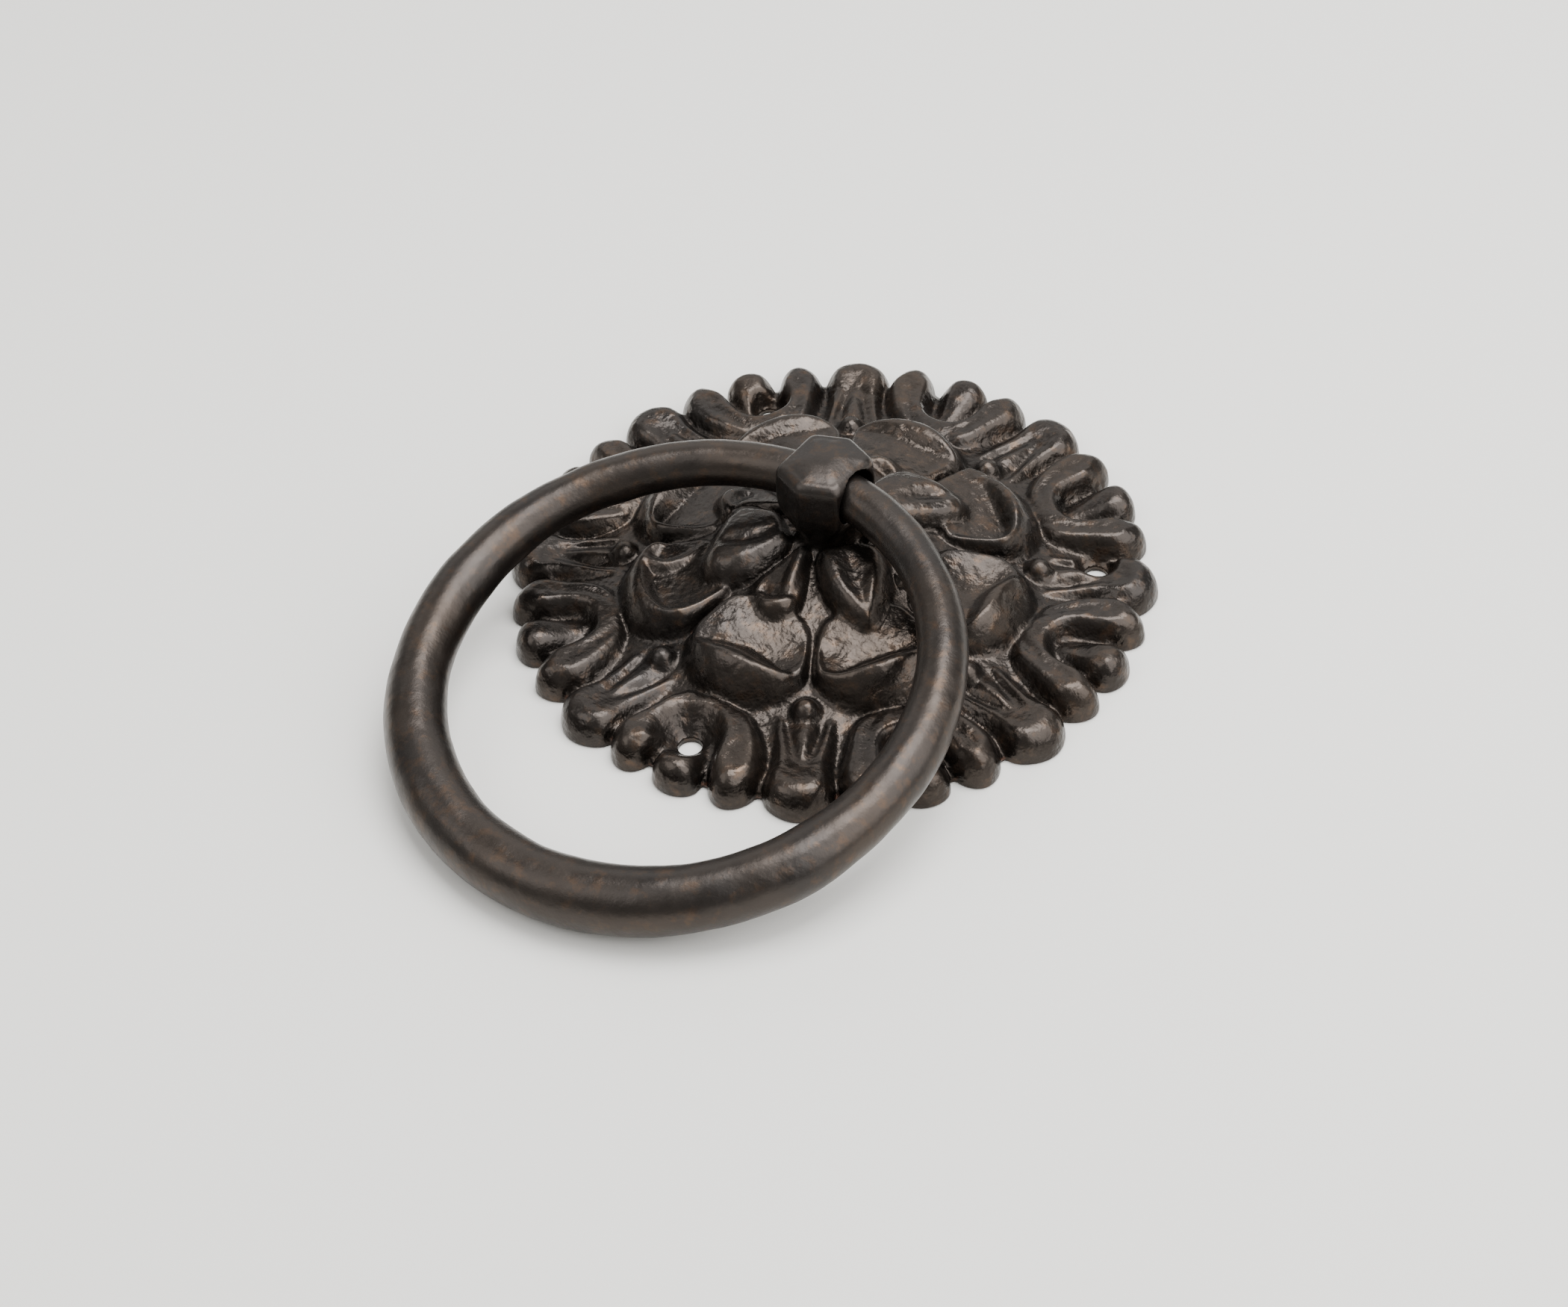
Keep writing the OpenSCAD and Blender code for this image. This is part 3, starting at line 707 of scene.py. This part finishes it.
# Half the gap between the ring's two ends, inside the eye
HALF_GAP = 0.15
RING_STEPS = 360
RING_SIDES = 56


def tube_radius(a):
    """Radius of the ring's tube at the angle a round from the eye, thickest at the far end."""
    way = np.clip(1 - abs(180 - a) / (180 - TAPER_FROM), 0, 1)
    return RING_EYE_R + (RING_FAR_R - RING_EYE_R) * (1 - np.cos(math.pi * way)) / 2


def knocker_ring(material):
    gap = math.degrees(HALF_GAP / RING_R)
    deep = math.degrees(DOWEL_HOLE_DEPTH / RING_R)
    stations = [(deep, DOWEL_R), (gap, DOWEL_R), (gap, RING_EYE_R - 0.5), (gap + 0.4, RING_EYE_R)]
    middle = np.linspace(gap + 1, 360 - gap - 1, RING_STEPS)
    stations += [(a, tube_radius(a)) for a in middle]
    stations += [(360 - a, r) for a, r in stations[3::-1]]
    points = []
    outward = []
    for a, tube in stations:
        along = math.radians(a)
        for side in range(RING_SIDES):
            t = 2 * math.pi * side / RING_SIDES
            n = np.array([math.sin(along) * math.cos(t), math.cos(along) * math.cos(t), math.sin(t)])
            centre = np.array([RING_R * math.sin(along), RING_R * math.cos(along) - RING_R, 0])
            points.append(centre + n * tube)
            outward.append(n)
    points, outward = np.array(points), np.array(outward)
    far = np.clip(np.hypot(points[:, 0], points[:, 1]) / 20 - 0.7, 0, 1)[:, None]
    points = roughened(points, outward * far, [(26, 0.5), (9, 0.22), (3.5, 0.06)])
    tilt = math.radians(RING_TILT)
    y = points[:, 1] * math.cos(tilt) - points[:, 2] * math.sin(tilt)
    z = points[:, 1] * math.sin(tilt) + points[:, 2] * math.cos(tilt) + EYE_H
    points = np.column_stack([points[:, 0], y, z])
    return add_mesh("tapered_ring", points, with_ends(len(stations), RING_SIDES), material)


# ---------------------------------------------------------------- fixings at the back

WASHER_Z, SPRING_Z, NUT_Z = 13.2, 11.0, 4.0


def flat_washer(material):
    profile = [(5.25, WASHER_Z + 0.2), (5.45, WASHER_Z), (10.2, WASHER_Z), (10.5, WASHER_Z + 0.3),
               (10.5, 15.0), (10.3, 15.2), (5.45, 15.2), (5.25, 15.0)]
    sides = 96
    faces = grid_faces(len(profile), sides, closed_rows=True)
    return add_mesh("washer_disc", swept_round(profile, sides), faces, material)


def hexagon_nut(material):
    """An M10 nut with chamfered corners and its thread."""
    sides, top = 96, NUT_Z + 7
    a = np.arange(sides) * 2 * math.pi / sides
    flat = 8.5 / np.cos((a + math.pi / 6) % (math.pi / 3) - math.pi / 6)
    levels = []
    for z, limit in ((NUT_Z, 8.3), (NUT_Z + 0.35, 8.9), (NUT_Z + 0.8, 9.6), (NUT_Z + 1.2, 9.9),
                     (top - 1.2, 9.9),
                     (top - 0.8, 9.6), (top - 0.35, 8.9), (top, 8.3)):
        levels.append((z, np.minimum(flat, limit)))
    heights = np.linspace(top - 0.05, NUT_Z + 0.05, 57)
    for z in heights:
        wave = np.abs(((z / THREAD_PITCH - a / (2 * math.pi)) % 1) * 2 - 1)
        lead = max(0, 1 - min(z - NUT_Z, top - z) / 0.8)
        levels.append((z, SHANK_R + 0.1 - THREAD_DEPTH * wave * (1 - lead) + 0.25 * lead))
    rings = [np.column_stack([r * np.cos(a), r * np.sin(a), np.full(sides, z)]) for z, r in levels]
    points = np.concatenate(rings)
    return add_mesh("nut_m10", points, grid_faces(len(levels), sides, closed_rows=True), material)


def split_washer(material):
    """The spring washer: a square wire in one turn with a slot on the right."""
    steps, half = 90, math.degrees(0.6 / 7)
    rings = []
    for a in np.radians(np.linspace(half, 360 - half, steps)):
        for r, z in ((5.1, 0.2), (5.3, 0), (8.8, 0), (9, 0.2), (9, 2.0), (8.8, 2.2), (5.3, 2.2),
                     (5.1, 2.0)):
            rings.append((r * math.cos(a), r * math.sin(a), SPRING_Z + z))
    faces = [f[::-1] for f in grid_faces(steps, 8)]
    faces.append(tuple(range(8)))
    faces.append(tuple(range((steps - 1) * 8, steps * 8))[::-1])
    return add_mesh("split_spring_washer", rings, faces, material)


# ---------------------------------------------------------------- materials

class Nodes:
    """Short names for building a material's nodes."""

    def __init__(self, name):
        self.material = bpy.data.materials.new(name)
        self.material.use_nodes = True
        self.tree = self.material.node_tree
        self.shader = self.tree.nodes["Principled BSDF"]
        self.place = self.add("ShaderNodeTexCoord").outputs["Object"]

    def add(self, kind, **settings):
        node = self.tree.nodes.new(kind)
        for key, value in settings.items():
            setattr(node, key, value)
        return node

    def link(self, source, target):
        self.tree.links.new(source, target)

    def noise(self, scale, detail=4, roughness=0.5):
        node = self.add("ShaderNodeTexNoise")
        node.inputs["Scale"].default_value = scale
        node.inputs["Detail"].default_value = detail
        node.inputs["Roughness"].default_value = roughness
        self.link(self.place, node.inputs["Vector"])
        return node.outputs["Fac"]

    def ramp(self, value, *stops):
        """Turns a value into a colour or a grey by stops of (position, colour or grey)."""
        node = self.add("ShaderNodeValToRGB")
        elements = node.color_ramp.elements
        while len(elements) < len(stops):
            elements.new(0.5)
        for element, (position, colour) in zip(elements, stops):
            element.position = position
            element.color = (*colour, 1) if isinstance(colour, tuple) else (colour, colour, colour, 1)
        self.link(value, node.inputs["Fac"])
        return node.outputs["Color"]

    def mix(self, share, a, b):
        """Mixes colours a and b, each a socket or a colour, by a socket or a number."""
        node = self.add("ShaderNodeMix", data_type="RGBA")
        for target, value in ((node.inputs[0], share), (node.inputs[6], a), (node.inputs[7], b)):
            if isinstance(value, bpy.types.NodeSocket):
                self.link(value, target)
            else:
                target.default_value = (*value, 1) if isinstance(value, tuple) else value
        return node.outputs[2]

    def math(self, operation, a, b=0.0):
        node = self.add("ShaderNodeMath", operation=operation)
        for target, value in zip(node.inputs, (a, b)):
            if isinstance(value, bpy.types.NodeSocket):
                self.link(value, target)
            else:
                target.default_value = value
        return node.outputs[0]

    def attribute(self, name):
        return self.add("ShaderNodeAttribute", attribute_name=name).outputs["Fac"]

    def bump(self, height, strength, distance, below=None):
        node = self.add("ShaderNodeBump")
        if isinstance(strength, bpy.types.NodeSocket):
            self.link(strength, node.inputs["Strength"])
        else:
            node.inputs["Strength"].default_value = strength
        node.inputs["Distance"].default_value = distance
        self.link(height, node.inputs["Height"])
        if below:
            self.link(below, node.inputs["Normal"])
        return node.outputs["Normal"]


def dark_bronze(name, relief=True):
    """Oil-rubbed dark bronze: near black, browner where worn, rusty and more wrinkled in deep lines, with
    painted shade darkening the deep lines and hollows.
    """
    n = Nodes(name)
    broad = n.noise(38, 3)
    speckle = n.noise(260, 5, 0.62)
    colour = n.ramp(broad, (0.3, (0.042, 0.038, 0.036)), (0.7, (0.060, 0.048, 0.040)))
    colour = n.mix(n.ramp(speckle, (0.52, 0.0), (0.78, 0.6)), colour, (0.11, 0.066, 0.040))
    smooth, dull = (0.22, 0.38) if relief else (0.29, 0.43)
    rough = n.ramp(n.noise(150, 5, 0.6), (0.3, smooth), (0.7, dull))
    wrinkle_strength = 0.12
    n.shader.inputs["Metallic"].default_value = 0.93
    if relief:
        low = n.attribute("relief")
        ragged = n.math("ADD", low, n.math("MULTIPLY", n.math("SUBTRACT", speckle, 0.5), 0.7))
        rust = n.ramp(ragged, (0.0, 0.8), (0.16, 0.0))
        worn = n.ramp(ragged, (0.66, 0.0), (1.0, 0.7))
        colour = n.mix(worn, colour, (0.12, 0.082, 0.056))
        # Painted shade: deep lines and hollows (low relief) are mixed towards near black to stand in for
        # the shade that falls in them
        colour = n.mix(n.ramp(ragged, (0.2, 0.75), (0.56, 0.0)), colour, (0.016, 0.013, 0.011))
        colour = n.mix(rust, colour, (0.13, 0.052, 0.030))
        wrinkle_strength = n.ramp(low, (0.3, 0.7), (0.7, 0.16))
        n.link(n.math("SUBTRACT", 0.93, n.math("MULTIPLY", rust, 0.6)), n.shader.inputs["Metallic"])
    n.link(colour, n.shader.inputs["Base Color"])
    n.link(rough, n.shader.inputs["Roughness"])
    normal = n.bump(n.noise(420, 2.5, 0.5), wrinkle_strength, 0.0009)
    normal = n.bump(n.noise(1600, 3, 0.6), 0.15, 0.0002, normal)
    n.link(normal, n.shader.inputs["Normal"])
    return n.material


def zinc_steel():
    """Dull zinc-plated steel."""
    n = Nodes("zinc steel")
    cloud = n.noise(220, 4)
    colour = n.ramp(cloud, (0.3, (0.42, 0.41, 0.38)), (0.7, (0.55, 0.54, 0.5)))
    n.link(colour, n.shader.inputs["Base Color"])
    n.link(n.ramp(n.noise(420, 4), (0.3, 0.34), (0.7, 0.5)), n.shader.inputs["Roughness"])
    n.shader.inputs["Metallic"].default_value = 0.9
    n.link(n.bump(n.noise(900, 3), 0.15, 0.0002), n.shader.inputs["Normal"])
    return n.material


def pale_floor():
    n = Nodes("pale floor")
    n.shader.inputs["Base Color"].default_value = (0.86, 0.85, 0.815, 1)
    n.shader.inputs["Roughness"].default_value = 0.9
    return n.material


# ---------------------------------------------------------------- stage

CAMERA_AZIMUTH = 38.9
CAMERA_ELEVATION = 44.55
CAMERA_ROLL = -4.32
CAMERA_DISTANCE = 0.7079
CAMERA_LENS = 62.73
LOOK_AT = Vector((0.0054, -0.0288, 0))
LIGHT_DISTANCE = 1.2
FLOOR_HALF, FLOOR_Z = 4000, -0.1


def direction(azimuth, elevation):
    """Unit vector towards a place seen at this azimuth and elevation, in degrees."""
    a, e = math.radians(azimuth), math.radians(elevation)
    return Vector((math.sin(a) * math.cos(e), -math.cos(a) * math.cos(e), math.sin(e)))


def camera():
    back = direction(CAMERA_AZIMUTH, CAMERA_ELEVATION)
    data = bpy.data.cameras.new("camera")
    data.lens = CAMERA_LENS
    data.clip_start = 0.01
    piece = bpy.data.objects.new("camera", data)
    piece.location = LOOK_AT + back * CAMERA_DISTANCE
    piece.rotation_mode = "QUATERNION"
    roll = Quaternion((0, 0, 1), math.radians(CAMERA_ROLL))
    piece.rotation_quaternion = (-back).to_track_quat("-Z", "Y") @ roll
    bpy.context.scene.collection.objects.link(piece)
    bpy.context.scene.camera = piece


def softbox(name, azimuth, elevation, wide, tall, brightness):
    """A big soft light at LIGHT_DISTANCE, facing the knocker. Brightness is its radiance."""
    data = bpy.data.lights.new(name, "AREA")
    data.shape = "RECTANGLE"
    data.size, data.size_y = wide, tall
    data.energy = brightness * math.pi * wide * tall
    light = bpy.data.objects.new(name, data)
    towards = direction(azimuth, elevation)
    light.location = towards * LIGHT_DISTANCE
    light.rotation_mode = "QUATERNION"
    light.rotation_quaternion = towards.to_track_quat("Z", "Y")
    light.visible_camera = False
    bpy.context.scene.collection.objects.link(light)


def stage():
    corners = [(x * FLOOR_HALF, y * FLOOR_HALF, FLOOR_Z) for x, y in ((-1, -1), (1, -1), (1, 1), (-1, 1))]
    floor = add_mesh("floor", corners, [(0, 1, 2, 3)], pale_floor())
    world = bpy.data.worlds.new("studio")
    world.use_nodes = True
    world.node_tree.nodes["Background"].inputs["Color"].default_value = (1, 0.985, 0.955, 1)
    world.node_tree.nodes["Background"].inputs["Strength"].default_value = 0.4
    bpy.context.scene.world = world
    softbox("side_softbox", 97, 42, 1.3, 1.2, 3.4)
    softbox("top_softbox", 160, 78, 0.8, 0.8, 9.5)
    softbox("left_softbox", 326, 48, 0.9, 0.7, 2.2)
    softbox("back_panel", 218, 34, 2.0, 0.7, 1.2)


# ---------------------------------------------------------------- the scene

camera()
stage()
bronze = dark_bronze("cast dark bronze")
satin_bronze = dark_bronze("satin dark bronze", relief=False)
steel = zinc_steel()

for piece, body, slot, node in (
        (rosette(bronze), "backplate", "dark_bronze", "rosette_plate"),
        (eye_stud(satin_bronze), "backplate", "dark_bronze", "eye_stud"),
        (flat_washer(steel), "backplate", "zinc_steel", "washer"),
        (split_washer(steel), "backplate", "zinc_steel", "spring_washer"),
        (hexagon_nut(steel), "backplate", "zinc_steel", "hex_nut"),
        (knocker_ring(satin_bronze), "ring", "dark_bronze", "knocker_ring")):
    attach(piece, body)
    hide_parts(node)

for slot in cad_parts["ring_dowel"].material_slots:
    slot.material = steel
